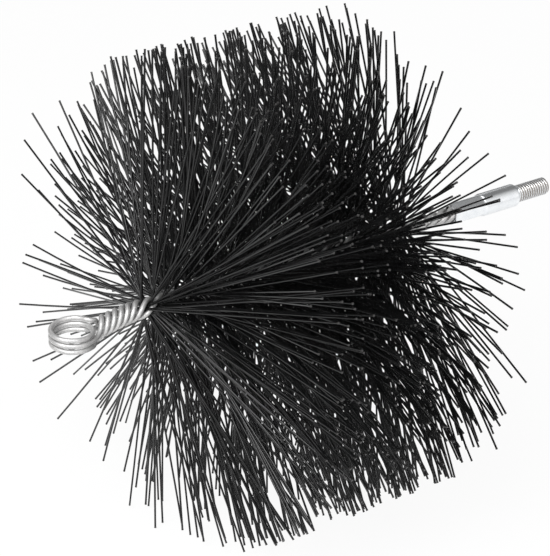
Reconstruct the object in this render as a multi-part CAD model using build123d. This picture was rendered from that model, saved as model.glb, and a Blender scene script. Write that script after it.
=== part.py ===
from build123d import *
import math
import os

import numpy as np

# A round chimney sweep brush: two folded wires are twisted together into a stem with a wound eye
# at one end, straight bristles stand out between the wires, and a crimped ferrule carries a
# threaded stud at the other end. Nothing on it moves.
# Sizes are in millimetres. X runs along the stem from the eye to the stud and Z is up. The origin
# is on the stem's axis where the stud's thread starts.

# Bristles
brush_diameter = 254.0
bristled_length = 161.3
bristle_width = 1.0
band_count = 20
rows_per_band = 5
standing_flat_depth = 0.5
splay_degrees = 4.0
sideways_splay_degrees = 3.0
bristle_spacing_share = 1.45
splay_tries = 120
splay_seed = 7

# The middle of the trimmed tips, which lies a little off the stem's axis
trim_middle_y = -3.2
trim_middle_z = -2.8

# How the bristles of the two ends lean in, each end most on one side of the brush
eye_end_length = 28.0
eye_end_lean_degrees = 11.8
eye_end_swept_side_degrees = 135.0
eye_end_side_lean_degrees = 6.0
stud_end_length = 88.0
stud_end_lean_degrees = -9.3
stud_end_swept_side_degrees = 163.0
stud_end_side_lean_degrees = -3.2

# Wires and their twist
wire_diameter = 2.5
wire_clearance = 0.15
first_wrap_turn_radius = 4.3
neck_end_turn_radius = 3.8
neck_lead = 14.8
neck_length = 24.7
neck_drop = 3.3
body_turn_radius = 3.1
body_lead = 27.0
narrowing_length = 20.0
lead_change_length = 9.0
lead_change_in_bristles = 1.0
bare_twist_length = 30.3

# Wound eye
eye_turn_diameter = 20.4
eye_turn_pitch = 3.1
eye_drop = 0.35
eye_to_twist = 14.2
first_wrap_degrees = 52.0
double_turn_leaves_degrees = (21.0, 77.5)
single_turn_leaves_degrees = (37.0, 79.0)

# Ferrule
barrel_wall = 1.9
barrel_length = 22.5
crimp_length = 21.2
crimp_depth = 0.8
crimp_runout = 1.2
barrel_edge_chamfer = 0.8
bore_clearance = 0.05
bore_past_crimp = 3.0
wire_end_gap = 0.3

# Stud, with a 3/8 inch thread of 16 turns to the inch
thread_diameter = 9.525
thread_pitch = 1.5875
thread_pitches = 12
relief_length = 2.2
relief_diameter = 7.4
tip_chamfer = 0.8
thread_crest_share = 1 / 8
thread_root_share = 1 / 4
thread_flank_degrees = 30.0

# Shares and counts that follow from how the pieces are built
full_turn = 360
quarter_turn = 90
turn_share = quarter_turn / full_turn
gaps_per_row = 4
crimp_flats = 6
eye_arc_degrees = 80
root_share = 0.3
neighbour_reach_share = 4
overrun = 1.0
points_per_arc = 4
from_base = (Align.CENTER, Align.CENTER, Align.MIN)

# Places along the stem
shoulder_x = -relief_length
crimp_end_x = shoulder_x - barrel_length
ferrule_end_x = crimp_end_x - crimp_length
bristles_end_x = ferrule_end_x - bare_twist_length
bristles_start_x = bristles_end_x - bristled_length
first_wrap_x = bristles_start_x - neck_length
eye_x = first_wrap_x - eye_to_twist
bore_floor_x = crimp_end_x + bore_past_crimp
wire_end_x = bore_floor_x - wire_end_gap
lead_change_end_x = bristles_start_x + lead_change_in_bristles
core_radius = body_turn_radius - wire_diameter / 2 - wire_clearance
pivot_radius = (core_radius + body_turn_radius) / 2
bore_radius = body_turn_radius + wire_diameter / 2 + bore_clearance
barrel_radius = bore_radius + barrel_wall
row_pitch = bristled_length / (band_count * rows_per_band)


def between(low, high, share):
    """The value a share of the way from low to high, with the share held to 0 to 1."""
    return low + (high - low) * min(1, max(0, share))


def change_share(x):
    """How far the twist has changed at x from the neck's to the bristled stretch's."""
    return 1 - (lead_change_end_x - x) / lead_change_length


def lead_at(x):
    """The length of one full turn of the twist at x."""
    return between(neck_lead, body_lead, change_share(x))


def turn_radius_at(x):
    """The radius of the wires' centre lines about the stem's axis at x."""
    along_neck = (x - first_wrap_x) / neck_length
    along_narrowing = (x - bristles_start_x) / narrowing_length
    neck_radius = between(first_wrap_turn_radius, neck_end_turn_radius, along_neck)
    return between(neck_radius, body_turn_radius, along_narrowing)


def neck_share(x):
    """How far x is along the neck from its first wrap, held to 0 to 1."""
    return between(0, 1, (x - first_wrap_x) / neck_length)


def drop_at(x):
    """How far the twist's own axis lies below the stem's at x, because the eye's end sags."""
    return neck_drop * (1 - neck_share(x)) ** 2


def rise_at(x):
    """How steeply the twist's own axis rises towards the stud at x."""
    return 2 * neck_drop * (1 - neck_share(x)) / neck_length


def twist_stations():
    """(x, degrees turned) at each quarter turn from the first wrap to the ferrule's bore."""
    stations = [(first_wrap_x, 0)]
    last_turning_x = wire_end_x - wire_diameter - body_lead * turn_share
    while stations[-1][0] < last_turning_x:
        x, turned = stations[-1]
        half_way = x + lead_at(x) * turn_share / 2
        stations.append((x + lead_at(half_way) * turn_share, turned + quarter_turn))
    return stations


def degrees_turned(x, stations):
    """The twist's angle at x, in degrees since the first wrap."""
    for (low_x, low), (high_x, high) in zip(stations, stations[1:]):
        if x <= high_x:
            break
    return low + (high - low) * (x - low_x) / (high_x - low_x)


def around_stem(x, radius, degrees):
    """The point at this radius and angle about the stem's axis, turned from +Y towards +Z."""
    angle = math.radians(degrees)
    return Vector(x, radius * math.cos(angle), radius * math.sin(angle))


def along_twist(x, degrees):
    """The direction in which a wire of the left-handed twist runs towards the stud."""
    slope = 2 * math.pi * turn_radius_at(x) / lead_at(x)
    angle = math.radians(degrees)
    return Vector(1, slope * math.sin(angle), rise_at(x) - slope * math.cos(angle)).normalized()


def leg_stations(start_degrees, stations):
    """The points and directions that one leg of a wire passes from the eye to the ferrule."""
    leg = []
    for x, turned in stations:
        degrees = start_degrees - turned
        point = around_stem(x, turn_radius_at(x), degrees) - Vector(0, 0, drop_at(x))
        leg.append((point, along_twist(x, degrees)))
    last_x, last_turned = stations[-1]
    straight_x = wire_end_x - wire_diameter
    run_out = (straight_x - last_x) / lead_at(last_x) * full_turn / 2
    end_degrees = start_degrees - last_turned - run_out
    for x in (straight_x, wire_end_x):
        leg.append((around_stem(x, body_turn_radius, end_degrees), Vector(1, 0, 0)))
    return leg


def reversed_stations(stations):
    """The same points passed the other way."""
    return [(point, -direction) for point, direction in reversed(stations)]


def eye_stations(leaves_degrees, extra_turns, front_level):
    """The points and directions along the eye's turns, from the back leg to the front leg.

    front_level is the height of the first pass over the eye's -Y side.
    """
    start = leaves_degrees[0]
    end = full_turn * (1 + extra_turns) - leaves_degrees[1]
    radius = eye_turn_diameter / 2
    steps = math.ceil((end - start) / eye_arc_degrees)
    front = full_turn - quarter_turn
    stations = []
    for step in range(steps + 1):
        degrees = start + (end - start) * step / steps
        angle = math.radians(degrees)
        height = front_level - eye_turn_pitch * (degrees - front) / full_turn
        point = Vector(eye_x + radius * math.cos(angle), radius * math.sin(angle), height)
        fall = eye_turn_pitch / (2 * math.pi)
        direction = Vector(-radius * math.sin(angle), radius * math.cos(angle), -fall)
        stations.append((point, direction.normalized()))
    return stations


def biarc(start, start_direction, end, end_direction):
    """Two tangent arcs from start to end that leave and arrive in the given directions."""
    chord = end - start
    both = start_direction + end_direction
    spread = 2 * (1 - start_direction.dot(end_direction))
    along = chord.dot(both)
    reach = (math.sqrt(along**2 + spread * chord.dot(chord)) - along) / spread
    first_corner = start + start_direction * reach
    second_corner = end - end_direction * reach
    middle = (first_corner + second_corner) / 2
    middle_direction = (second_corner - first_corner).normalized()
    first = Edge.make_tangent_arc(start, start_direction, middle)
    second = Edge.make_tangent_arc(middle, middle_direction, end)
    return [first, second]


def wire_route(stations):
    """The wire's centre line through its stations, straight at both ends and arcs between."""
    edges = [Edge.make_line(stations[0][0], stations[1][0])]
    for (start, leaving), (end, arriving) in zip(stations[1:-2], stations[2:-1]):
        edges += biarc(start, leaving, end, arriving)
    edges.append(Edge.make_line(stations[-2][0], stations[-1][0]))
    return edges


def wire_solid(edges):
    """The round wire along its centre line."""
    route = Wire(edges)
    section = Plane(origin=route @ 0, z_dir=route % 0) * Circle(wire_diameter / 2)
    return sweep(section, path=route)


def folded_wire_route(leaves_degrees, extra_turns, front_level, legs_degrees, stations):
    """One wire from the ferrule to the eye, round its turns and back to the ferrule."""
    back_leg = leg_stations(legs_degrees[0], stations)
    front_leg = leg_stations(legs_degrees[1], stations)
    turns = eye_stations(leaves_degrees, extra_turns, front_level)
    return wire_route(reversed_stations(back_leg) + turns + front_leg)


def points_on(edges):
    """(length along the route, point) at even shares of each edge."""
    points = []
    travelled = 0
    for edge in edges:
        for step in range(points_per_arc):
            share = step / points_per_arc
            points.append((travelled + edge.length * share, *edge.position_at(share)))
        travelled += edge.length
    return np.array(points)


def least_gap(points, others, apart=0):
    """The least gap between two wires' surfaces, for points this far apart along one wire."""
    offsets = points[:, None, 1:] - others[None, :, 1:]
    distances = np.linalg.norm(offsets, axis=2)
    reaches = np.abs(points[:, None, 0] - others[None, :, 0])
    return distances[reaches >= apart].min() - wire_diameter


def mean_lean(x, degrees):
    """The mean lean towards the stud, in degrees, of the bristles that leave the stem here."""
    eye_side = math.cos(math.radians(degrees - eye_end_swept_side_degrees))
    stud_side = math.cos(math.radians(degrees - stud_end_swept_side_degrees))
    eye_lean = eye_end_lean_degrees + eye_end_side_lean_degrees * eye_side
    stud_lean = stud_end_lean_degrees + stud_end_side_lean_degrees * stud_side
    near_eye = 1 - (x - bristles_start_x) / eye_end_length
    near_stud = 1 - (bristles_end_x - x) / stud_end_length
    return between(0, eye_lean, near_eye) + between(0, stud_lean, near_stud)


def splayed_direction(x, degrees, chance):
    """One random splay of a bristle that leaves the stem here, as a unit vector."""
    splay = chance.uniform(-splay_degrees, splay_degrees)
    lean = math.radians(mean_lean(x, degrees) + splay)
    sideways = chance.uniform(-sideways_splay_degrees, sideways_splay_degrees)
    outward = around_stem(0, math.cos(lean), degrees + sideways)
    return np.array([math.sin(lean), outward.Y, outward.Z])


def least_distance(start, direction, starts, directions):
    """The least distance from one bristle's centre line to any of the others'."""
    if not len(starts):
        return math.inf
    longest = brush_diameter / 2
    offset = start - np.array(starts)
    others = np.array(directions)
    alike = others @ direction
    here = offset @ direction
    there = np.einsum("ij,ij->i", offset, others)
    skew = np.maximum(1 - alike**2, np.finfo(float).eps)
    along = np.clip((alike * there - here) / skew, 0, longest)
    other_along = np.clip(alike * along + there, 0, longest)
    along = np.clip(alike * other_along - here, 0, longest)
    gaps = offset + along[:, None] * direction - other_along[:, None] * others
    return np.linalg.norm(gaps, axis=1).min()


def bristle_lines(stations):
    """(x, start, direction) of every bristle, row by row, splayed so that none meets another."""
    chance = np.random.default_rng(splay_seed)
    lines, starts, directions = [], [], []
    clear = bristle_width * bristle_spacing_share
    for row in range(band_count * rows_per_band):
        x = bristles_start_x + row_pitch * (row + 1 / 2)
        for gap in range(gaps_per_row):
            middle = first_wrap_degrees + quarter_turn / 2 + quarter_turn * gap
            degrees = middle - degrees_turned(x, stations)
            pivot = np.array(tuple(around_stem(x, pivot_radius, degrees)))
            best_distance = -1
            for attempt in range(splay_tries):
                direction = splayed_direction(x, degrees, chance)
                start = pivot - direction * (pivot_radius - core_radius)
                distance = least_distance(start, direction, starts, directions)
                if distance > best_distance:
                    best_distance, best = distance, (start, direction)
                if distance > clear:
                    break
            starts.append(best[0])
            directions.append(best[1])
            lines.append((x, degrees, Vector(*best[0]), Vector(*best[1]), best_distance))
    return lines


def bristle(x, degrees, start, direction):
    """One four-sided bristle, square to the wires it leaves between, from core to trimmed tip."""
    root_depth = core_radius * root_share
    outward = math.hypot(direction.Y, direction.Z)
    off_axis = (trim_middle_y * direction.Y + trim_middle_z * direction.Z) / outward
    length = root_depth + (brush_diameter / 2 + off_axis - core_radius) / outward
    wire_way = along_twist(x, degrees)
    side = wire_way - direction * wire_way.dot(direction)
    base = Plane(origin=start - direction * root_depth, x_dir=side, z_dir=direction)
    return base * Box(bristle_width, bristle_width, length, align=from_base)


def rod(radius, start_x, end_x):
    """A round solid on the stem's axis between two places."""
    base = Plane(origin=(start_x, 0, 0), z_dir=(1, 0, 0))
    return base * Cylinder(radius, end_x - start_x, align=from_base)


def bristle_band(band, lines):
    """One slice of the packed middle of the bristles, with its strands fused to it."""
    start_x = bristles_start_x + band * rows_per_band * row_pitch
    end_x = start_x + rows_per_band * row_pitch
    core = rod(core_radius, start_x, end_x)
    first = band * rows_per_band * gaps_per_row
    strands = [bristle(*line[:4]) for line in lines[first : first + rows_per_band * gaps_per_row]]
    slice_before = rod(core_radius, start_x - row_pitch, start_x)
    slice_after = rod(core_radius, end_x, end_x + row_pitch)
    return core.fuse(*strands).cut(standing_cut(), slice_before, slice_after)


def standing_cut():
    """What lies under the plane that the trimmed bristles stand on."""
    depth = standing_flat_depth + overrun
    length = bristled_length + brush_diameter
    middle_x = bristles_start_x + bristled_length / 2
    top = Pos(middle_x, trim_middle_y, trim_middle_z - brush_diameter / 2 + standing_flat_depth)
    return top * Box(length, brush_diameter, depth, align=(Align.CENTER, Align.CENTER, Align.MAX))


def crimp_flat():
    """What the press takes off the barrel at +Y: one flat, with a slope where it runs out."""
    flat_y = barrel_radius - crimp_depth
    outline = [
        (ferrule_end_x - overrun, flat_y),
        (crimp_end_x - crimp_runout, flat_y),
        (crimp_end_x + overrun * crimp_runout / crimp_depth, barrel_radius + overrun),
        (ferrule_end_x - overrun, barrel_radius + overrun),
    ]
    side = make_face(Polyline(*outline, close=True))
    return extrude(side, amount=barrel_radius, both=True)


def thread_outline():
    """(x, radius) along the thread's crests and roots, from the relief to the chamfered tip."""
    crest = thread_pitch * thread_crest_share
    flank = thread_pitch * (1 - thread_crest_share - thread_root_share) / 2
    depth = flank / math.tan(math.radians(thread_flank_degrees))
    radius = thread_diameter / 2
    relief_rise = radius - relief_diameter / 2
    outline = [(-relief_rise * flank / depth, relief_diameter / 2)]
    for turn in range(thread_pitches):
        crest_x = turn * thread_pitch
        outline += [
            (crest_x, radius),
            (crest_x + crest, radius),
            (crest_x + crest + flank, radius - depth),
            (crest_x + thread_pitch - flank, radius - depth),
        ]
    last_x = thread_pitches * thread_pitch
    outline += [
        (last_x, radius),
        (last_x + crest, radius),
        (last_x + crest + tip_chamfer, radius - tip_chamfer),
    ]
    return outline


def ferrule():
    """The bored and crimped barrel with its threaded stud, turned from one bar."""
    thread = thread_outline()
    outline = [
        (ferrule_end_x, 0),
        (ferrule_end_x, barrel_radius),
        (shoulder_x - barrel_edge_chamfer, barrel_radius),
        (shoulder_x, barrel_radius - barrel_edge_chamfer),
        (shoulder_x, relief_diameter / 2),
        *thread,
        (thread[-1][0], 0),
    ]
    turned = revolve(make_face(Polyline(*outline, close=True)), Axis.X)
    bore = rod(bore_radius, ferrule_end_x - overrun, bore_floor_x)
    flat_turn = full_turn / crimp_flats
    flats = [Rot(flat_turn * flat, 0, 0) * crimp_flat() for flat in range(crimp_flats)]
    return turned.cut(bore, *flats)


def write(name, solid):
    """One node's STEP file."""
    export_step(solid, f"parts/{name}.step")


os.makedirs("parts", exist_ok=True)
stations = twist_stations()
double_route = folded_wire_route(
    double_turn_leaves_degrees,
    extra_turns=1,
    front_level=eye_turn_pitch - eye_drop - neck_drop,
    legs_degrees=(first_wrap_degrees, first_wrap_degrees + quarter_turn),
    stations=stations,
)
single_route = folded_wire_route(
    single_turn_leaves_degrees,
    extra_turns=0,
    front_level=-eye_turn_pitch - eye_drop - neck_drop,
    legs_degrees=(first_wrap_degrees + 3 * quarter_turn, first_wrap_degrees + 2 * quarter_turn),
    stations=stations,
)
write("eye_wire_double_turn", wire_solid(double_route))
write("eye_wire_single_turn", wire_solid(single_route))
write("threaded_ferrule", ferrule())
lines = bristle_lines(stations)
for band in range(band_count):
    write(f"bristle_band_{band + 1:02}", bristle_band(band, lines))

double_points = points_on(double_route)
single_points = points_on(single_route)
apart = wire_diameter * neighbour_reach_share
print("least gap of the double-turn wire to itself", least_gap(double_points, double_points, apart))
print("least gap of the single-turn wire to itself", least_gap(single_points, single_points, apart))
print("least gap between the two wires", least_gap(double_points, single_points))
print("tightest bend", min(edge.radius for edge in double_route[1:-1] + single_route[1:-1]))
print("bristles", len(lines))
print("least gap between bristles' centre lines", min(line[-1] for line in lines))
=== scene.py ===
"""The looks of a round chimney sweep brush, built on its CAD frame.

Black plastic bristles stand out of a twisted stem of galvanised wire. The wires are the CAD model's
own. The bristles and the ferrule take the place of the CAD model's plainer ones: the bristles in
roughly their full number, and the ferrule with rounded edges and a helical thread.
Lengths are in metres. X runs along the stem from the eye to the stud and Z is up.
"""

import logging
import math
from collections.abc import Callable
from dataclasses import asdict, dataclass, fields
from enum import Enum
from functools import reduce

import bmesh
import bpy
from mathutils import Matrix, Vector


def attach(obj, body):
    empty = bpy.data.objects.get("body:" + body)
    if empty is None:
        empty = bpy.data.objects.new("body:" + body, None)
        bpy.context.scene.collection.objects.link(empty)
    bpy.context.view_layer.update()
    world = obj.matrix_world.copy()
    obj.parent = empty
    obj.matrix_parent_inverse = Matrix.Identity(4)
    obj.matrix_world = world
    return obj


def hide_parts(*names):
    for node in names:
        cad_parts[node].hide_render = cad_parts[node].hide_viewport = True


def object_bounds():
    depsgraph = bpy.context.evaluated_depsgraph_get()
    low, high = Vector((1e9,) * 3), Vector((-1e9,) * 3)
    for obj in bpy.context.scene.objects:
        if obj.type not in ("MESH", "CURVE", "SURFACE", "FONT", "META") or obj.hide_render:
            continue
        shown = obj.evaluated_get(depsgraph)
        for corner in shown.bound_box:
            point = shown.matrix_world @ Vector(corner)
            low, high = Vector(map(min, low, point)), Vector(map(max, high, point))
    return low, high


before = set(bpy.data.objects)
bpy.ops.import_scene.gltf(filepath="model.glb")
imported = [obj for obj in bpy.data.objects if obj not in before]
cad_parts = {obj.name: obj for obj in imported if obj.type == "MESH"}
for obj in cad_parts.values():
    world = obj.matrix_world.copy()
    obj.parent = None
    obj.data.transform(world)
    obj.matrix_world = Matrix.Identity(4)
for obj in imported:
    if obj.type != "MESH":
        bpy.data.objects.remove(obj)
cad_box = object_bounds()

MM = 0.001
DEGREE = math.pi / 180
BODY = "root"
Colour = tuple[float, float, float, float]
Output = bpy.types.NodeSocket
Value = Output | float | bool | str | tuple[float, ...]
Inputs = dict[str | int, Value]
log = logging.getLogger("chimney_sweep_brush")


class Slot(Enum):
    """The record's material slots."""

    BRISTLES = "bristles"
    WIRE = "wire"
    FERRULE = "ferrule"


class Socket(Enum):
    """The kinds of input and output that the node groups have."""

    NUMBER = "NodeSocketFloat"
    COUNT = "NodeSocketInt"
    VECTOR = "NodeSocketVector"
    GEOMETRY = "NodeSocketGeometry"
    MATERIAL = "NodeSocketMaterial"


class Draw(Enum):
    """What a strand's random numbers are for, with the seed of each."""

    ROW = 1
    FAN = 2
    LEAN = 3
    LENGTH = 4
    ROLL = 5
    KEPT = 6
    TONE = 7
    BEND = 8


class Wiring:
    """Adds nodes to one tree and links them as it goes."""

    def __init__(self, tree: bpy.types.NodeTree) -> None:
        """Keeps the tree that the nodes are added to."""
        self.tree = tree

    def add(
        self, kind: str, inputs: Inputs | None = None, **settings: str | bpy.types.NodeTree
    ) -> bpy.types.Node:
        """Adds one node.

        Args:
            kind: The node's type.
            inputs: A value or another node's output for each input, by its name or number.
            settings: The node's own settings.

        Returns:
            The node.
        """
        node = self.tree.nodes.new(kind)
        for name, value in settings.items():
            setattr(node, name, value)
        for key, value in (inputs or {}).items():
            self.give(node.inputs[key], value)
        return node

    def give(self, socket: bpy.types.NodeSocket, value: Value) -> None:
        """Links an output to an input, or writes a plain value on it.

        Args:
            socket: The input.
            value: The other node's output, or the value.
        """
        if isinstance(value, bpy.types.NodeSocket):
            self.tree.links.new(value, socket)
        else:
            socket.default_value = value

    def step(self, kind: str, inputs: Inputs | None = None, **settings: str) -> Output:
        """Adds one node and gives its first output."""
        return self.add(kind, inputs, **settings).outputs[0]

    def math(self, operation: str, *values: Value) -> Output:
        """One step of arithmetic on numbers."""
        return self.step("ShaderNodeMath", dict(enumerate(values)), operation=operation)

    def product(self, *values: Value) -> Output:
        """Two or more numbers multiplied, from the first to the last."""
        return reduce(lambda first, second: self.math("MULTIPLY", first, second), values)

    def vector(self, operation: str, *values: Value) -> Output:
        """One step of arithmetic on vectors."""
        return self.step("ShaderNodeVectorMath", dict(enumerate(values)), operation=operation)

    def scaled(self, vector: Output, scale: Output) -> Output:
        """A vector times a number."""
        return self.step("ShaderNodeVectorMath", {"Vector": vector, "Scale": scale}, operation="SCALE")

    def joined(self, x: Value, y: Value, z: Value) -> Output:
        """A vector made of three numbers."""
        return self.step("ShaderNodeCombineXYZ", {"X": x, "Y": y, "Z": z})

    def parts(self, vector: Output) -> bpy.types.NodeOutputs:
        """The X, Y and Z of a vector."""
        return self.add("ShaderNodeSeparateXYZ", {0: vector}).outputs

    def ramped(self, value: Output, low: float, high: float) -> Output:
        """A number taken from low to high and turned into a share from 0 to 1."""
        return self.step("ShaderNodeMapRange", {"Value": value, "From Min": low, "From Max": high})

    def moved(self, share: Output, start: float, end: float) -> Output:
        """A number that goes from start to end as the share goes from 0 to 1."""
        return self.math("MULTIPLY_ADD", share, end - start, start)

    def mixed(self, share: Output, first: Output, second: Output) -> Output:
        """A number between two others, which are the node's inputs 2 and 3."""
        return self.step("ShaderNodeMix", {0: share, 2: first, 3: second})

    def blended(self, share: Output, first: Value, second: Value) -> Output:
        """A colour between two others, which are the node's inputs 6 and 7."""
        inputs = {0: share, 6: first, 7: second}
        return self.add("ShaderNodeMix", inputs, data_type="RGBA").outputs[2]

    def object_place(self) -> Output:
        """The place on the object."""
        return self.add("ShaderNodeTexCoord").outputs["Object"]

    def noise(self, place: Output, scale: Output, detail: float) -> Output:
        """Soft noise from 0 to 1, with scale spots to the metre."""
        inputs = {"Vector": place, "Scale": scale, "Detail": detail}
        return self.add("ShaderNodeTexNoise", inputs).outputs["Fac"]

    def from_axis(self, place: Output) -> Output:
        """How far a place is from the X axis."""
        across = self.vector("MULTIPLY", place, (0, 1, 1))
        return self.add("ShaderNodeVectorMath", {0: across}, operation="LENGTH").outputs["Value"]


class Group(Wiring):
    """The wiring of one node group, with its named inputs and outputs."""

    def __init__(
        self, name: str, kind: str, inputs: dict[str, Socket], outputs: dict[str, Socket]
    ) -> None:
        """Makes the group, with nothing in it but its inputs.

        Args:
            name: The group's name.
            kind: The type of tree.
            inputs: The kind of each input, by name.
            outputs: The kind of each output, by name.
        """
        super().__init__(bpy.data.node_groups.new(name, kind))
        for direction, sockets in (("INPUT", inputs), ("OUTPUT", outputs)):
            for title, socket in sockets.items():
                self.tree.interface.new_socket(title, in_out=direction, socket_type=socket.value)
        self.given = self.add("NodeGroupInput").outputs


def grey(level: float, warmth: float = 0) -> Colour:
    """A grey, warmer or, with a negative warmth, cooler."""
    return (level * (1 + warmth), level, level * (1 - warmth), 1)


def label(name: str) -> str:
    """The name of a group's input for a field's name, such as Tip Radius for tip_radius."""
    return name.replace("_", " ").title()


def link_object(name: str, data: bpy.types.ID) -> bpy.types.Object:
    """Puts a mesh, a lamp or a camera into the scene as an object at the origin.

    Args:
        name: The object's name.
        data: What the object shows.

    Returns:
        The object.
    """
    made = bpy.data.objects.new(name, data)
    bpy.context.scene.collection.objects.link(made)
    return made


def declare(piece: bpy.types.Object, slot: Slot, *nodes: str) -> None:
    """Tells the frame what a piece rides on and which CAD nodes it stands for, and hides those.

    Args:
        piece: The finished piece.
        slot: The record's slot for its finish. Not used.
        nodes: The CAD nodes that it replaces.
    """
    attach(piece, BODY)
    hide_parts(*nodes)
    log.info("%s: %d faces, replaces %s", piece.name, len(piece.data.polygons), ", ".join(nodes))


@dataclass(frozen=True)
class Wear:
    """Clouds and flecks on one finish: how many to the metre, and the flecks' share of the mask."""

    cloud_scale: float
    fleck_scale: float
    fleck_share: float


@dataclass(frozen=True)
class Scratches:
    """Fine lines on one finish: how the place is stretched, least along them, and their scale."""

    stretch: tuple[float, float, float]
    scale: float


@dataclass(frozen=True)
class Relief:
    """How strong and how deep one finish's fine relief is."""

    strength: float
    depth: float


@dataclass
class Effects:
    """The surface effects that the finishes share, each a node group built once.

    A detail is the number of layers in a noise. A range is the noise at which a mask leaves 0 and
    the noise at which it reaches 1.
    """

    cloud_detail: float = 3
    fleck_detail: float = 2
    wear_range: tuple[float, float] = (0.35, 0.65)
    scratch_detail: float = 4
    scratch_range: tuple[float, float] = (0.42, 0.6)

    def __post_init__(self) -> None:
        """Builds the groups."""
        self.groups = {Wear: self.build_wear(), Scratches: self.build_scratches()}

    def build_wear(self) -> bpy.types.NodeTree:
        """A cloudy mask at two scales, for stains, dulling and zinc spangle.

        Returns:
            The node group.
        """
        inputs = {label(value.name): Socket.NUMBER for value in fields(Wear)}
        group = Group("wear", "ShaderNodeTree", inputs, {"Mask": Socket.NUMBER})
        place = group.object_place()
        clouds = group.noise(place, group.given["Cloud Scale"], self.cloud_detail)
        flecks = group.noise(place, group.given["Fleck Scale"], self.fleck_detail)
        both = group.mixed(group.given["Fleck Share"], clouds, flecks)
        group.add("NodeGroupOutput", {"Mask": group.ramped(both, *self.wear_range)})
        return group.tree

    def build_scratches(self) -> bpy.types.NodeTree:
        """Fine lines drawn out along the direction in which the surface was worked.

        Returns:
            The node group.
        """
        inputs = {"Stretch": Socket.VECTOR, "Scale": Socket.NUMBER}
        group = Group("scratches", "ShaderNodeTree", inputs, {"Mask": Socket.NUMBER})
        drawn = group.vector("MULTIPLY", group.object_place(), group.given["Stretch"])
        lines = group.noise(drawn, group.given["Scale"], self.scratch_detail)
        group.add("NodeGroupOutput", {"Mask": group.ramped(lines, *self.scratch_range)})
        return group.tree

    def mask(self, wiring: Wiring, values: Wear | Scratches) -> Output:
        """Places one effect in a material, with the material's own values.

        Args:
            wiring: The material's wiring.
            values: The effect's values there.

        Returns:
            The effect's mask, from 0 to 1.
        """
        inputs = {label(name): value for name, value in asdict(values).items()}
        group = self.groups[type(values)]
        return wiring.add("ShaderNodeGroup", inputs, node_tree=group).outputs["Mask"]


class Surface(Wiring):
    """The wiring of one material, with its shader."""

    def __init__(self, name: str) -> None:
        """Starts a material that has only its shader.

        Args:
            name: The material's name.
        """
        self.material = bpy.data.materials.new(name)
        self.material.use_nodes = True
        super().__init__(self.material.node_tree)
        self.shader = self.tree.nodes["Principled BSDF"]

    def cover(self, colour: Output, roughness: Output, height: Output, relief: Relief) -> None:
        """Links what changes over the surface to the shader.

        Args:
            colour: The base colour.
            roughness: The roughness.
            height: The height of the fine relief, as a share of its depth.
            relief: How strong and how deep the relief is.
        """
        bump = {"Strength": relief.strength, "Distance": relief.depth, "Height": height}
        self.give(self.shader.inputs["Base Color"], colour)
        self.give(self.shader.inputs["Roughness"], roughness)
        self.give(self.shader.inputs["Normal"], self.step("ShaderNodeBump", bump))


@dataclass(frozen=True)
class BristlePlastic:
    """Satin black filament, each strand a little lighter or darker, and paler where it is cut.

    The shares of tone and wear say how much each of them lightens a strand.
    """

    dark: Colour = grey(0.0015, -0.04)
    light: Colour = grey(0.006, -0.03)
    cut: Colour = grey(0.03, 0.02)
    tone_share: float = 0.8
    wear_share: float = 0.35
    cut_length_share: float = 0.01
    clean_roughness: float = 0.06
    worn_roughness: float = 0.22
    wear: Wear = Wear(cloud_scale=60, fleck_scale=900, fleck_share=0.5)
    relief: Relief = Relief(strength=0.1, depth=0.05 * MM)
    specular_level: float = 0.38

    def make(self, effects: Effects) -> bpy.types.Material:
        """Builds the material.

        Args:
            effects: The shared node groups.

        Returns:
            The material.
        """
        surface = Surface("bristle_plastic")
        tone = surface.add("ShaderNodeAttribute", attribute_name="tone").outputs["Fac"]
        along = surface.add("ShaderNodeAttribute", attribute_name="along").outputs["Fac"]
        worn = effects.mask(surface, self.wear)
        own = surface.math("MULTIPLY", tone, self.tone_share)
        mottled = surface.math("MULTIPLY_ADD", worn, self.wear_share, own)
        body = surface.blended(mottled, self.dark, self.light)
        end = surface.ramped(along, 1 - self.cut_length_share, 1)
        colour = surface.blended(end, body, self.cut)
        rough = surface.moved(worn, self.clean_roughness, self.worn_roughness)
        surface.cover(colour, rough, worn, self.relief)
        surface.shader.inputs["Specular IOR Level"].default_value = self.specular_level
        return surface.material


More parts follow.
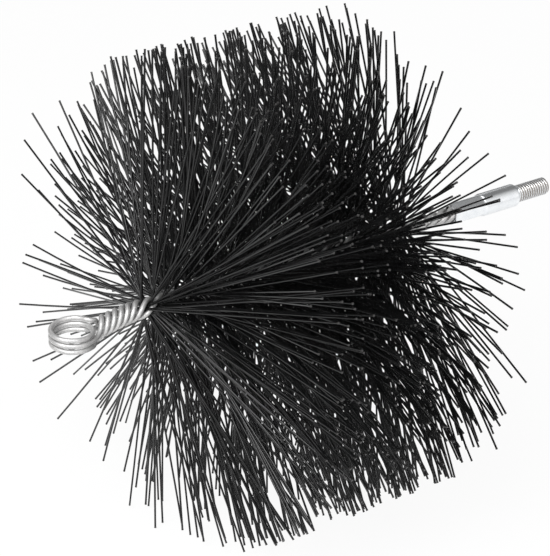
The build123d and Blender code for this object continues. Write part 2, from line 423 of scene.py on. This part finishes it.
@dataclass(frozen=True)
class GalvanisedWire:
    """Dull zinc on drawn wire, clouded, lightly scratched, with painted shade deep in the twist.

    The painted shade is full within grime_inside of the axis and gone past grime_outside.
    Along the stem it sets in from grime_start to grime_full. The clouds' height is beside the
    scratches' height of 1.
    """

    bright: Colour = grey(0.64, 0.01)
    dull: Colour = grey(0.4)
    # The colour of the painted shade deep in the twist.
    grime: Colour = grey(0.2, 0.03)
    grime_inside: float = 1.2 * MM
    grime_outside: float = 2.6 * MM
    grime_start: float = -236 * MM
    grime_full: float = -230 * MM
    dull_roughness: float = 0.54
    bright_roughness: float = 0.4
    scratch_roughness: float = 0.1
    wear: Wear = Wear(cloud_scale=130, fleck_scale=1700, fleck_share=0.6)
    scratches: Scratches = Scratches(stretch=(0.35, 1, 1), scale=2600)
    cloud_height: float = 0.6
    relief: Relief = Relief(strength=0.5, depth=0.04 * MM)
    metallic: float = 0.75

    def make(self, effects: Effects) -> bpy.types.Material:
        """Builds the material.

        Args:
            effects: The shared node groups.

        Returns:
            The material.
        """
        surface = Surface("galvanised_wire")
        shine = effects.mask(surface, self.wear)
        scratched = effects.mask(surface, self.scratches)
        zinc = surface.blended(shine, self.dull, self.bright)
        place = surface.object_place()
        # Painted shade deep in the twist: darker near the stem's axis, and only along the bristled
        # part.
        outer = surface.ramped(surface.from_axis(place), self.grime_inside, self.grime_outside)
        bare = surface.ramped(surface.parts(place)["X"], self.grime_full, self.grime_start)
        unshaded = surface.math("MAXIMUM", outer, bare)
        colour = surface.blended(unshaded, self.grime, zinc)
        rough = surface.moved(shine, self.dull_roughness, self.bright_roughness)
        rough = surface.math("MULTIPLY_ADD", scratched, self.scratch_roughness, rough)
        height = surface.math("MULTIPLY_ADD", shine, self.cloud_height, scratched)
        surface.cover(colour, rough, height, self.relief)
        surface.shader.inputs["Metallic"].default_value = self.metallic
        return surface.material


@dataclass(frozen=True)
class ZincPlatedSteel:
    """Bright zinc plate on turned steel: turning rings, dull patches, painted shade in thread roots.

    The painted shade in the roots fades from root_radius out to the crests. Along the stem it sets
    in from thread_start to thread_full.
    """

    bright: Colour = grey(0.97, -0.015)
    dull: Colour = grey(0.88, -0.03)
    # The colour of the painted shade in the thread roots.
    root: Colour = grey(0.48, 0.06)
    crest_radius: float = 4.7625 * MM
    root_radius: float = 4.2 * MM
    thread_start: float = 0
    thread_full: float = 0.2 * MM
    dull_roughness: float = 0.19
    bright_roughness: float = 0.11
    scratch_roughness: float = 0.08
    thread_roughness: float = 0.2
    wear: Wear = Wear(cloud_scale=160, fleck_scale=900, fleck_share=0.3)
    scratches: Scratches = Scratches(stretch=(1, 0.05, 0.05), scale=5200)
    relief: Relief = Relief(strength=0.35, depth=0.02 * MM)
    metallic: float = 1

    def make(self, effects: Effects) -> bpy.types.Material:
        """Builds the material.

        Args:
            effects: The shared node groups.

        Returns:
            The material.
        """
        surface = Surface("zinc_plated_steel")
        shine = effects.mask(surface, self.wear)
        scratched = effects.mask(surface, self.scratches)
        plate = surface.blended(shine, self.dull, self.bright)
        place = surface.object_place()
        # Painted shade in the thread roots: darker from the crests down to root_radius, only along the
        # thread.
        raised = surface.ramped(surface.from_axis(place), self.root_radius, self.crest_radius)
        in_thread = surface.ramped(surface.parts(place)["X"], self.thread_start, self.thread_full)
        dark = surface.math("MULTIPLY", surface.math("SUBTRACT", 1, raised), in_thread)
        colour = surface.blended(dark, plate, self.root)
        rough = surface.moved(shine, self.dull_roughness, self.bright_roughness)
        rough = surface.math("MULTIPLY_ADD", in_thread, self.thread_roughness, rough)
        rough = surface.math("MULTIPLY_ADD", scratched, self.scratch_roughness, rough)
        surface.cover(colour, rough, scratched, self.relief)
        surface.shader.inputs["Metallic"].default_value = self.metallic
        return surface.material


@dataclass(frozen=True)
class StrandSizes:
    """What the bristle bands' geometry nodes take, each as an input of the same name.

    The first strand on each guide follows the guide. The rest are the extra strands, which most of
    these sizes are for. Angles are in radians, and a lean is positive towards the stud.

    Attributes:
        kept_share: The share of the extra strands that are there.
        strand_radius: A strand's radius.
        tip_radius: The unscaled strand's length.
        tip_margin: How much shorter than its guide an extra strand is.
        shortening: The share of its reach that the shortest extra strand lacks.
        pivot_radius: How far from the stem's axis a strand passes between two wires.
        root_depth: How far behind that point a strand starts.
        start: Where the bristles start along the stem.
        end: Where they end.
        half_row: How far along the stem an extra strand may be from its guide.
        twist_lead: The length of one full turn of the wires.
        fan: How far round the stem an extra strand may turn from its guide.
        lean_spread: How far it may lean from its guide.
        eye_end_length: Over what length the leans of the eye end fade out.
        eye_end_lean: The extra lean at the eye end, all round.
        eye_end_side_lean: What the swept side adds to that, and the other side takes off.
        eye_end_spread: What the eye end adds to the spread of the lean.
        swept_side: The angle of the swept side round the stem.
        stud_end_length: Over what length the lean of the stud end fades out.
        stud_end_lean: The extra lean at the stud end.
        droop: The angle by which a level strand sinks.
        bend: How far a fully bent strand's tip is off its line.
        flare: The share by which the burr at the cut widens the tip.
        flare_length: The burr's length.
    """

    kept_share: float = 0.9
    strand_radius: float = 1.05 * MM / 2
    tip_radius: float = 126.2 * MM
    tip_margin: float = 0.75 * MM
    shortening: float = 0.15
    pivot_radius: float = 2.6 * MM
    root_depth: float = 2.2 * MM
    start: float = -237.5 * MM
    end: float = -76.2 * MM
    half_row: float = 0.81 * MM
    twist_lead: float = 27 * MM
    fan: float = 8 * DEGREE
    lean_spread: float = 1 * DEGREE
    eye_end_length: float = 21 * MM
    eye_end_lean: float = -2.5 * DEGREE
    eye_end_side_lean: float = 10 * DEGREE
    eye_end_spread: float = 2.5 * DEGREE
    swept_side: float = 157 * DEGREE
    stud_end_length: float = 36 * MM
    stud_end_lean: float = -3.3 * DEGREE
    droop: float = 6 * DEGREE
    bend: float = 3.3 * MM
    flare: float = 0.18
    flare_length: float = 0.8 * MM


@dataclass(frozen=True)
class StrandMesh:
    """How the meshes of the strands are made.

    The spans don't count the burr. Each kind of strand has its own share of the full bend, and the
    first kind is straight. A higher shortening_power makes the shorter strands rarer. band_seeds is
    more than a band's strands, so that no two bands have the same random numbers.
    """

    sides: int = 6
    spans: int = 5
    bend_shares: tuple[float, ...] = (0, 0.35, 0.7, 1)
    shortening_power: float = 4
    band_seeds: int = 1000


class BandTree(Group):
    """The geometry nodes that stand one band's strands on its guides.

    A guide is a point at the root of one of the CAD model's bristles, with its tip's place kept on it.
    A strand's pivot is where it passes between two wires.
    """

    def __init__(self, mesh: StrandMesh) -> None:
        """Starts the tree, reads the guides and aims the strands.

        Args:
            mesh: How the strands' meshes are made.
        """
        inputs = {"Guides": Socket.GEOMETRY, "Strands Each": Socket.COUNT, "Seed": Socket.COUNT}
        inputs |= {label(size.name): Socket.NUMBER for size in fields(StrandSizes)}
        inputs |= {"Lowest": Socket.VECTOR, "Highest": Socket.VECTOR, "Material": Socket.MATERIAL}
        super().__init__("bristle_band", "GeometryNodeTree", inputs, {"Mesh": Socket.GEOMETRY})
        given = self.given
        self.mesh = mesh
        points = self.step("GeometryNodeMeshToPoints", {"Mesh": given["Guides"]})
        amount = {"Geometry": points, "Amount": given["Strands Each"]}
        copies = self.add("GeometryNodeDuplicateElements", amount, domain="POINT").outputs
        self.points = copies["Geometry"]
        self.extra = self.math("GREATER_THAN", copies["Duplicate Index"], 0)
        index = self.step("GeometryNodeInputIndex")
        self.number = self.math("MULTIPLY_ADD", given["Seed"], mesh.band_seeds, index)
        root = self.step("GeometryNodeInputPosition")
        tip = self.step("GeometryNodeInputNamedAttribute", {"Name": "tip"}, data_type="FLOAT_VECTOR")
        self.root_x = self.parts(root)["X"]
        self.guide = self.parts(self.vector("NORMALIZE", self.vector("SUBTRACT", tip, root)))
        squares = [self.product(part, part) for part in self.parts(tip)[1:3]]
        self.guide_radius = self.math("SQRT", self.math("ADD", *squares))
        self.guide_angle = self.math("ARCTAN2", self.guide["Z"], self.guide["Y"])
        self.along_stem = self.spread(given["Half Row"], Draw.ROW)
        turned = self.math("DIVIDE", self.product(self.along_stem, -math.tau), given["Twist Lead"])
        self.gap_angle = self.math("ADD", self.guide_angle, turned)
        lean = self.lean()
        self.outward = self.math("COSINE", lean)
        self.direction = self.about_stem(self.math("SINE", lean), self.outward, self.angle())
        pivot_x = self.math("ADD", self.root_x, self.along_stem)
        self.pivot = self.about_stem(pivot_x, given["Pivot Radius"], self.gap_angle)

    def chance(self, low: float, high: float, draw: Draw) -> Output:
        """A random number for each strand, with its least and most, its number and its seed."""
        inputs = {2: low, 3: high, 7: self.number, 8: draw.value}
        return self.add("FunctionNodeRandomValue", inputs, data_type="FLOAT").outputs[1]

    def spread(self, amount: Output, draw: Draw) -> Output:
        """A random number either side of zero for each extra strand."""
        return self.product(amount, self.extra, self.chance(-1, 1, draw))

    def stored(self, points: Output, name: str, value: Output) -> Output:
        """Points, or a line, with a number kept on each point."""
        inputs = {"Geometry": points, "Name": name, "Value": value}
        return self.step("GeometryNodeStoreNamedAttribute", inputs, domain="POINT")

    def about_stem(self, x: Output, radius: Output, angle: Output) -> Output:
        """A vector from its part along the stem, its radius and its angle round the stem."""
        across = [self.product(radius, self.math(part, angle)) for part in ("COSINE", "SINE")]
        return self.joined(x, *across)

    def angle(self) -> Output:
        """Each strand's angle round the stem, with its droop.

        Returns:
            The angle from +Y towards +Z.
        """
        angle = self.math("ADD", self.gap_angle, self.spread(self.given["Fan"], Draw.FAN))
        droop = self.product(self.given["Droop"], self.extra, self.math("COSINE", angle))
        return self.math("SUBTRACT", angle, droop)

    def lean(self) -> Output:
        """How far each strand leans along the stem.

        Returns:
            The lean, positive towards the stud.
        """
        given = self.given
        from_start = self.math("SUBTRACT", self.root_x, given["Start"])
        from_end = self.math("SUBTRACT", given["End"], self.root_x)
        near_eye = self.ramped(self.math("DIVIDE", from_start, given["Eye End Length"]), 1, 0)
        near_stud = self.ramped(self.math("DIVIDE", from_end, given["Stud End Length"]), 1, 0)
        side = self.math("COSINE", self.math("SUBTRACT", self.guide_angle, given["Swept Side"]))
        swept = self.math("MULTIPLY_ADD", side, given["Eye End Side Lean"], given["Eye End Lean"])
        swept = self.product(near_eye, swept)
        swept = self.math("MULTIPLY_ADD", near_stud, given["Stud End Lean"], swept)
        spread = self.math("MULTIPLY_ADD", near_eye, given["Eye End Spread"], given["Lean Spread"])
        own = self.math("ARCSINE", self.guide["X"])
        own = self.math("ADD", own, self.spread(spread, Draw.LEAN))
        return self.math("MULTIPLY_ADD", self.extra, swept, own)

    def room(self) -> Output:
        """How far each strand may go, bent to any side, before it leaves the CAD model's box.

        Returns:
            The distance from the pivot.
        """
        given = self.given
        parts = self.parts(self.direction)
        squares = (self.product(part, part) for part in (parts["Y"], parts["Z"]))
        sideways = [self.math("SQRT", self.math("SUBTRACT", 1, square)) for square in squares]
        bulge = self.scaled(self.joined(0, *sideways), self.product(given["Bend"], self.extra))
        lowest = self.vector("ADD", given["Lowest"], bulge)
        highest = self.vector("SUBTRACT", given["Highest"], bulge)
        gaps = (self.vector("SUBTRACT", side, self.pivot) for side in (lowest, highest))
        rooms = [self.vector("DIVIDE", gap, self.direction) for gap in gaps]
        room = self.parts(self.vector("MAXIMUM", *rooms))
        return self.math("MINIMUM", room["Y"], room["Z"])

    def reach(self) -> Output:
        """How far each strand goes, with its shortening.

        Returns:
            The distance from the pivot.
        """
        given = self.given
        rare = self.math("POWER", self.chance(0, 1, Draw.LENGTH), self.mesh.shortening_power)
        kept = self.math("SUBTRACT", 1, self.product(given["Shortening"], rare))
        full = self.product(self.math("SUBTRACT", self.guide_radius, given["Tip Margin"]), kept)
        radius = self.mixed(self.extra, self.guide_radius, full)
        reach = self.math("SUBTRACT", radius, given["Pivot Radius"])
        reach = self.math("DIVIDE", reach, self.outward)
        return self.math("MINIMUM", reach, self.room())

    def turn(self) -> Output:
        """The turn that aims each strand along its direction and rolls it at random.

        Returns:
            The rotation.
        """
        aim = {"Vector": self.direction}
        aimed = self.step("FunctionNodeAlignRotationToVector", aim, axis="Z")
        roll = {"Angle": self.chance(0, math.tau, Draw.ROLL)}
        rolled = self.step("FunctionNodeAxisAngleToRotation", roll)
        turn = {"Rotation": aimed, "Rotate By": rolled}
        return self.step("FunctionNodeRotateRotation", turn, rotation_space="LOCAL")

    def strand(self, bend_share: float) -> Output:
        """One strand of full length, up from the origin, with a slight burr where it is cut.

        Args:
            bend_share: Its share of the full bend.

        Returns:
            The strand's mesh, with the share of its length kept on each point as along.
        """
        given, spans = self.given, self.mesh.spans
        line = self.step("GeometryNodeCurvePrimitiveLine")
        line = self.step("GeometryNodeResampleCurve", {"Curve": line, "Count": spans + 2})
        ring = self.add("GeometryNodeSplineParameter").outputs["Index"]
        even = self.math("MINIMUM", self.math("DIVIDE", ring, spans), 1)
        before_burr = self.math("COMPARE", ring, spans, 0)
        burr_share = self.math("DIVIDE", given["Flare Length"], given["Tip Radius"])
        along = self.math("SUBTRACT", even, self.product(before_burr, burr_share))
        bent = self.product(given["Bend"], bend_share, self.product(along, along))
        place = self.joined(bent, 0, self.product(given["Tip Radius"], along))
        line = self.step("GeometryNodeSetPosition", {"Geometry": line, "Position": place})
        line = self.stored(line, "along", along)
        in_burr = self.math("GREATER_THAN", ring, spans)
        widened = self.math("MULTIPLY_ADD", in_burr, given["Flare"], 1)
        radius = self.product(given["Strand Radius"], widened)
        size = {"Resolution": self.mesh.sides, "Radius": 1}
        circle = self.step("GeometryNodeCurvePrimitiveCircle", size)
        tube = {"Curve": line, "Profile Curve": circle, "Scale": radius, "Fill Caps": True}
        mesh = self.step("GeometryNodeCurveToMesh", tube)
        return self.step("GeometryNodeSetShadeSmooth", {"Geometry": mesh})

    def strand_kinds(self) -> Output:
        """One strand of each kind as instances, the straight one first.

        Returns:
            The instances.
        """
        together = self.add("GeometryNodeJoinGeometry")
        for share in reversed(self.mesh.bend_shares):
            kind = self.step("GeometryNodeGeometryToInstance", {0: self.strand(share)})
            self.give(together.inputs[0], kind)
        return together.outputs[0]

    def build(self) -> bpy.types.NodeTree:
        """Stands the strands on the guides and gives them their finish.

        Returns:
            The node group.
        """
        given = self.given
        sunk = self.scaled(self.direction, given["Root Depth"])
        place = self.vector("SUBTRACT", self.pivot, sunk)
        length = self.math("ADD", self.reach(), given["Root Depth"])
        stretch = self.math("DIVIDE", length, given["Tip Radius"])
        left_out = self.math("GREATER_THAN", self.chance(0, 1, Draw.KEPT), given["Kept Share"])
        bent = self.chance(1, len(self.mesh.bend_shares), Draw.BEND)
        points = self.stored(self.points, "tone", self.chance(0, 1, Draw.TONE))
        points = self.step("GeometryNodeSetPosition", {"Geometry": points, "Position": place})
        strands = {
            "Points": points,
            "Selection": self.math("SUBTRACT", 1, self.product(self.extra, left_out)),
            "Instance": self.strand_kinds(),
            "Pick Instance": True,
            "Instance Index": self.math("FLOOR", self.product(self.extra, bent)),
            "Rotation": self.turn(),
            "Scale": self.joined(1, 1, stretch),
        }
        mesh = self.step("GeometryNodeInstanceOnPoints", strands)
        mesh = self.step("GeometryNodeRealizeInstances", {"Geometry": mesh})
        mesh = self.step("GeometryNodeSetMaterial", {"Geometry": mesh, "Material": given["Material"]})
        self.add("NodeGroupOutput", {"Mesh": mesh})
        return self.tree


@dataclass(frozen=True)
class Bristles:
    """All the bristles: one on the line of each of the CAD model's, and up to three more beside it.

    The strands stay box_margin inside the CAD model's box. Corners of a solid within merge_distance
    of each other are the same one.
    """

    bands: int = 20
    strands_each: int = 4
    box_margin: float = 0.15 * MM
    merge_distance: float = 0.001 * MM
    sizes: StrandSizes = StrandSizes()
    mesh: StrandMesh = StrandMesh()

    def guides(self, node: str) -> bpy.types.Mesh:
        """Points at the roots of one CAD band's bristles, with their tips kept on them.

        The long edges of a solid run along its bristles. Those that meet belong to one bristle.

        Args:
            node: The band's name.

        Returns:
            The points, as a mesh with no faces.
        """
        halfway = self.sizes.tip_radius / 2
        solid = bmesh.new()
        solid.from_mesh(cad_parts[node].data)
        bmesh.ops.remove_doubles(solid, verts=solid.verts, dist=self.merge_distance)
        strands: list[dict[bmesh.types.BMVert, None]] = []
        for edge in solid.edges:
            if edge.calc_length() > halfway:
                touching = [strand for strand in strands if not strand.keys().isdisjoint(edge.verts)]
                strands = [strand for strand in strands if strand not in touching]
                corners = [corner for strand in touching for corner in strand]
                strands.append(dict.fromkeys([*corners, *edge.verts]))
        roots, tips = [], []
        for strand in strands:
            outer = [corner.co for corner in strand if corner.co.yz.length > halfway]
            inner = [corner.co for corner in strand if corner.co.yz.length < halfway]
            roots.append(sum(inner, Vector()) / len(inner))
            tips.append(sum(outer, Vector()) / len(outer))
        solid.free()
        mesh = bpy.data.meshes.new("guides")
        mesh.from_pydata(roots, [], [])
        kept = mesh.attributes.new("tip", "FLOAT_VECTOR", "POINT")
        for number, tip in enumerate(tips):
            kept.data[number].vector = tip
        return mesh

    def build(self, material: bpy.types.Material) -> None:
        """Builds every band's piece, from the eye to the stud.

        Args:
            material: The bristles' finish.
        """
        tree = BandTree(self.mesh).build()
        keys = {socket.name: socket.identifier for socket in tree.interface.items_tree}
        margin = Vector([self.box_margin] * 3)
        values = {label(name): value for name, value in asdict(self.sizes).items()}
        values |= {"Strands Each": self.strands_each, "Material": material}
        values |= {"Lowest": cad_box[0] + margin, "Highest": cad_box[1] - margin}
        for band in range(1, self.bands + 1):
            node = f"bristle_band_{band:02}"
            piece = link_object(f"bristles_{band:02}", self.guides(node))
            modifier = piece.modifiers.new("bristles", "NODES")
            modifier.node_group = tree
            for name, value in {**values, "Seed": band}.items():
                modifier[keys[name]] = value
            depsgraph = bpy.context.evaluated_depsgraph_get()
            mesh = bpy.data.meshes.new_from_object(piece.evaluated_get(depsgraph))
            piece.modifiers.clear()
            piece.data = mesh
            declare(piece, Slot.BRISTLES, node)


@dataclass(frozen=True)
class Ferrule:
    """The crimped barrel and its threaded stud, with the thread's helix and rounded edges.

    The flats run out over crimp_runout, up to crimp_end. Flat and round blend where their radii
    differ by less than edge_blend. The rings on the two end faces are at shoulder_step times the
    relief's radius and at tip_steps times the tip's.
    """

    mouth: float = -45.9 * MM
    crimp_end: float = -24.7 * MM
    shoulder: float = -2.2 * MM
    barrel_radius: float = 6.3 * MM
    flat_distance: float = 5.5 * MM
    flats: int = 6
    crimp_runout: float = 1.2 * MM
    runout_steps: int = 8
    edge_blend: float = 0.28 * MM
    shoulder_round: float = 0.8 * MM
    mouth_round: float = 0.3 * MM
    bore_radius: float = 4.4 * MM
    bore_floor: float = -21.7 * MM
    relief_radius: float = 3.7 * MM
    shoulder_step: float = 1.2
    thread_radius: float = 4.7625 * MM
    pitch: float = 1.5875 * MM
    pitches: int = 12
    crest_share: float = 1 / 8
    root_share: float = 1 / 4
    flank_angle: float = 30 * DEGREE
    tip_chamfer: float = 0.8 * MM
    tip_steps: tuple[float, ...] = (0.97, 0.6, 0.25)
    points_round: int = 96
    rings_per_pitch: int = 20
    arc_steps: int = 6
    plain_step: float = 0.6 * MM
    sharp_angle: float = 50 * DEGREE

    @property
    def crest_end(self) -> float:
        """Where the last crest ends and the tip's chamfer starts."""
        return self.pitch * (self.pitches + self.crest_share)

    @property
    def runout_start(self) -> float:
        """Where the flats start to run out."""
        return self.crimp_end - self.crimp_runout

    def crimped(self, x: float, radius: float, angle: float) -> float:
        """The barrel's radius once the press has left its flats on it.

        Args:
            x: The place along the stem.
            radius: The turned radius there.
            angle: The angle from +Y towards +Z.

        Returns:
            The radius, the lesser of round and flat, blended where the two are near each other.
        """
        rise = self.barrel_radius - self.flat_distance
        past = max(0, x - self.runout_start)
        flat = self.flat_distance + past * rise / self.crimp_runout
        turn = math.tau / self.flats
        from_middle = (angle + turn / 2) % turn - turn / 2
        pressed = flat / math.cos(from_middle)
        near = max(0, self.edge_blend - abs(radius - pressed))
        return min(radius, pressed) - near**2 / (4 * self.edge_blend)

    def threaded(self, x: float, angle: float) -> float:
        """The stud's radius, with the thread's right-handed helix.

        Args:
            x: The place along the stem.
            angle: The angle from +Y towards +Z.

        Returns:
            The radius, with the flanks' edges eased.
        """
        flank_share = (1 - self.crest_share - self.root_share) / 2
        depth = self.pitch * flank_share / math.tan(self.flank_angle)
        phase = x / self.pitch - angle / math.tau
        from_crest = abs(phase - round(phase))
        down = min(1, max(0, (from_crest - self.crest_share / 2) / flank_share))
        eased = down * down * (3 - 2 * down)
        cut = self.thread_radius - depth * (down + eased) / 2
        run_in = self.relief_radius + max(0, x + self.pitch / 2) / math.tan(self.flank_angle)
        chamfer = self.thread_radius - max(0, x - self.crest_end)
        return min(cut, run_in, chamfer)

    def rounded(self, x: float, size: float, start: float) -> list[tuple[float, float]]:
        """The quarter circle of a rounded edge at one end of the barrel.

        Args:
            x: The place of its centre along the stem.
            size: Its radius.
            start: The angle that it starts at, from +X outwards. It goes down from there.

        Returns:
            Places along the stem, each with the radius there.
        """
        centre = self.barrel_radius - size
        points = []
        for step in range(self.arc_steps + 1):
            angle = start - math.pi / 2 * step / self.arc_steps
            points.append((x + size * math.cos(angle), centre + size * math.sin(angle)))
        return points

    def spaced(self, start: float, end: float, step: float) -> list[float]:
        """Places between start and end, no further apart than step, without the two ends."""
        count = math.ceil(abs(end - start) / step)
        return [start + (end - start) * number / count for number in range(1, count)]

    def ring(self, x: float, radius_at: Callable[[float], float]) -> list[Vector]:
        """One ring of points about the stem's axis.

        Args:
            x: Its place along the stem.
            radius_at: Gives the radius at an angle.

        Returns:
            The points, from +Y towards +Z.
        """
        points = []
        for number in range(self.points_round):
            angle = math.tau * number / self.points_round
            radius = radius_at(angle)
            points.append(Vector((x, radius * math.cos(angle), radius * math.sin(angle))))
        return points

    def plain(self, x: float, radius: float) -> list[Vector]:
        """One round ring."""
        return self.ring(x, lambda angle: radius)

    def pressed(self, x: float, radius: float) -> list[Vector]:
        """One ring of the crimped barrel."""
        return self.ring(x, lambda angle: self.crimped(x, radius, angle))

    def barrel(self) -> list[list[Vector]]:
        """The rings from the bore's floor round the mouth and along the barrel to the relief.

        Returns:
            The rings, in that order.
        """
        fine_end = self.crimp_end + self.crimp_runout
        fine_step = self.crimp_runout / self.runout_steps
        mouth = self.rounded(self.mouth + self.mouth_round, self.mouth_round, math.pi)
        shoulder = self.rounded(self.shoulder - self.shoulder_round, self.shoulder_round, math.pi / 2)
        places = self.spaced(mouth[-1][0], self.runout_start, self.plain_step)
        places += self.spaced(self.runout_start, fine_end, fine_step)
        places += self.spaced(fine_end, shoulder[0][0], self.plain_step)
        face = (self.relief_radius * self.shoulder_step, self.relief_radius)
        rings = [self.plain(x, self.bore_radius) for x in (self.bore_floor, self.crimp_end, self.mouth)]
        rings += [self.pressed(x, radius) for x, radius in mouth]
        rings += [self.pressed(x, self.barrel_radius) for x in places]
        rings += [self.plain(x, radius) for x, radius in shoulder]
        return rings + [self.plain(self.shoulder, radius) for radius in face]

    def stud(self) -> list[list[Vector]]:
        """The rings along the relief and the thread and over the tip.

        Returns:
            The rings, in that order.
        """
        end = self.crest_end + self.tip_chamfer
        face = self.thread_radius - self.tip_chamfer
        places = [*self.spaced(self.shoulder, end, self.pitch / self.rings_per_pitch), end]
        rings = [self.ring(x, lambda angle, x=x: self.threaded(x, angle)) for x in places]
        return rings + [self.plain(end, face * share) for share in self.tip_steps]

    def build(self, material: bpy.types.Material) -> None:
        """Builds the piece.

        Args:
            material: The ferrule's finish.
        """
        rings = self.barrel() + self.stud()
        size = self.points_round
        last = (len(rings) - 1) * size
        faces = []
        for low in range(0, last, size):
            for point in range(size):
                after = (point + 1) % size
                faces.append((low + point, low + after, low + size + after, low + size + point))
        faces.append(tuple(reversed(range(size))))
        faces.append(tuple(range(last, last + size)))
        mesh = bpy.data.meshes.new("ferrule_and_stud")
        mesh.from_pydata([point for ring in rings for point in ring], [], faces)
        mesh.materials.append(material)
        mesh.shade_smooth()
        mesh.set_sharp_from_angle(angle=self.sharp_angle)
        declare(link_object("ferrule_and_stud", mesh), Slot.FERRULE, "threaded_ferrule")


@dataclass(frozen=True)
class Wires:
    """The two folded wires, which keep their CAD meshes."""

    names: tuple[str, ...] = ("eye_wire_double_turn", "eye_wire_single_turn")

    def dress(self, material: bpy.types.Material) -> None:
        """Gives the wires their finish.

        Args:
            material: The wires' finish.
        """
        for name in self.names:
            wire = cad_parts[name]
            wire.material_slots[0].material = material
            log.info("%s: dressed", name)


@dataclass(frozen=True)
class Lamp:
    """One soft square lamp: its name, where it stands, its width and its power in watts."""

    name: str
    place: tuple[float, float, float]
    width: float
    power: float


@dataclass(frozen=True)
class Studio:
    """The pale floor, the soft light and the camera at the photograph's angle.

    The camera sees floor_glow_share of the floor as plain white, and a reflection sees
    floor_glossy_share of that. The room goes from dark to pale over pale_range, by how far a direction
    goes towards pale_side. The camera is set by the stem's point at the ferrule's shoulder.
    """

    floor_size: float = 12.0
    floor_white: float = 0.9
    floor_roughness: float = 0.9
    floor_glow_share: float = 0.93
    floor_glossy_share: float = 0.6
    world_dark: float = 0.2
    world_pale: float = 1.08
    pale_side: tuple[float, float, float] = (-0.31, -0.94, 0.1)
    pale_range: tuple[float, float] = (-0.13, 0.6)
    lamps: tuple[Lamp, ...] = (
        Lamp("key_lamp", (-0.8, -0.35, 0.85), width=0.75, power=15),
        Lamp("rim_lamp", (0.5, 1.3, 1.0), width=1.0, power=2),
    )
    azimuth: float = -34.08 * DEGREE
    elevation: float = 27.23 * DEGREE
    focal_pixels: float = 2100
    frame_pixels: tuple[float, float] = (550, 556)
    shoulder: tuple[float, float, float] = (-2.2 * MM, 0, 0)
    shoulder_pixels: tuple[float, float] = (513, 195)
    shoulder_depth: float = 1.144
    sensor: float = 36.0

    def build_floor(self) -> None:
        """A floor under the lowest bristles, white to the camera but for the brush's shadow."""
        surface = Surface("pale_floor")
        surface.shader.inputs["Base Color"].default_value = grey(self.floor_white)
        surface.shader.inputs["Roughness"].default_value = self.floor_roughness
        glow = surface.step("ShaderNodeEmission", {"Color": grey(1), "Strength": 1})
        path = surface.add("ShaderNodeLightPath").outputs
        mirrored = surface.product(path["Is Glossy Ray"], self.floor_glossy_share)
        seen = surface.math("MAXIMUM", path["Is Camera Ray"], mirrored)
        share = surface.product(seen, self.floor_glow_share)
        both = {0: share, 1: surface.shader.outputs[0], 2: glow}
        output = surface.tree.nodes["Material Output"]
        surface.give(output.inputs["Surface"], surface.step("ShaderNodeMixShader", both))
        half = self.floor_size / 2
        corners = [(x * half, y * half, cad_box[0].z) for x, y in ((-1, -1), (1, -1), (1, 1), (-1, 1))]
        mesh = bpy.data.meshes.new("floor")
        mesh.from_pydata(corners, [], [(0, 1, 2, 3)])
        mesh.materials.append(surface.material)
        link_object("floor", mesh)

    def build_world(self) -> None:
        """A room that is pale on the viewer's side and darker behind, and white to the camera."""
        world = bpy.data.worlds.new("studio")
        bpy.context.scene.world = world
        world.use_nodes = True
        wiring = Wiring(world.node_tree)
        place = wiring.add("ShaderNodeTexCoord").outputs["Generated"]
        sides = {0: place, 1: self.pale_side}
        towards = wiring.add("ShaderNodeVectorMath", sides, operation="DOT_PRODUCT").outputs["Value"]
        share = wiring.ramped(towards, *self.pale_range)
        colour = wiring.blended(share, grey(self.world_dark), grey(self.world_pale))
        path = wiring.add("ShaderNodeLightPath").outputs
        colour = wiring.blended(path["Is Camera Ray"], colour, grey(1))
        wiring.give(world.node_tree.nodes["Background"].inputs["Color"], colour)

    def build_lamp(self, lamp: Lamp) -> None:
        """Stands one lamp so that it faces the middle of the brush.

        Args:
            lamp: The lamp.
        """
        light = bpy.data.lights.new(lamp.name, "AREA")
        light.shape = "SQUARE"
        light.size = lamp.width
        light.energy = lamp.power
        stand = link_object(lamp.name, light)
        middle = (cad_box[0] + cad_box[1]) / 2
        stand.location = lamp.place
        stand.rotation_mode = "QUATERNION"
        stand.rotation_quaternion = (middle - Vector(lamp.place)).to_track_quat("-Z", "Y")

    def build_camera(self) -> None:
        """The camera, set by where the ferrule's shoulder shows in the photograph."""
        right = Vector((math.cos(self.azimuth), math.sin(self.azimuth), 0))
        level = Vector((-math.sin(self.azimuth), math.cos(self.azimuth), 0))
        ahead = level * math.cos(self.elevation) - Vector((0, 0, math.sin(self.elevation)))
        up = right.cross(ahead)
        width, height = self.frame_pixels
        scale = self.shoulder_depth / self.focal_pixels
        across = (self.shoulder_pixels[0] - width / 2) * scale
        rise = (height / 2 - self.shoulder_pixels[1]) * scale
        place = Vector(self.shoulder) - right * across - up * rise - ahead * self.shoulder_depth
        camera = bpy.data.cameras.new("camera")
        camera.sensor_width = self.sensor
        camera.lens = self.focal_pixels / height * self.sensor
        camera.clip_end = self.floor_size
        stand = link_object("camera", camera)
        turn = Matrix((right, up, -ahead)).transposed()
        stand.matrix_world = Matrix.Translation(place) @ turn.to_4x4()
        bpy.context.scene.camera = stand

    def build(self) -> None:
        """Builds the camera, the floor, the world and the lamps."""
        self.build_camera()
        self.build_floor()
        self.build_world()
        for lamp in self.lamps:
            self.build_lamp(lamp)
        bpy.context.scene.view_settings.view_transform = "Standard"


def main() -> None:
    """Builds and dresses the brush, piece by piece, and sets up the studio."""
    logging.basicConfig(level=logging.INFO, format="%(name)s: %(message)s")
    Studio().build()
    effects = Effects()
    Bristles().build(BristlePlastic().make(effects))
    Wires().dress(GalvanisedWire().make(effects))
    Ferrule().build(ZincPlatedSteel().make(effects))


if __name__ == "__main__":
    main()
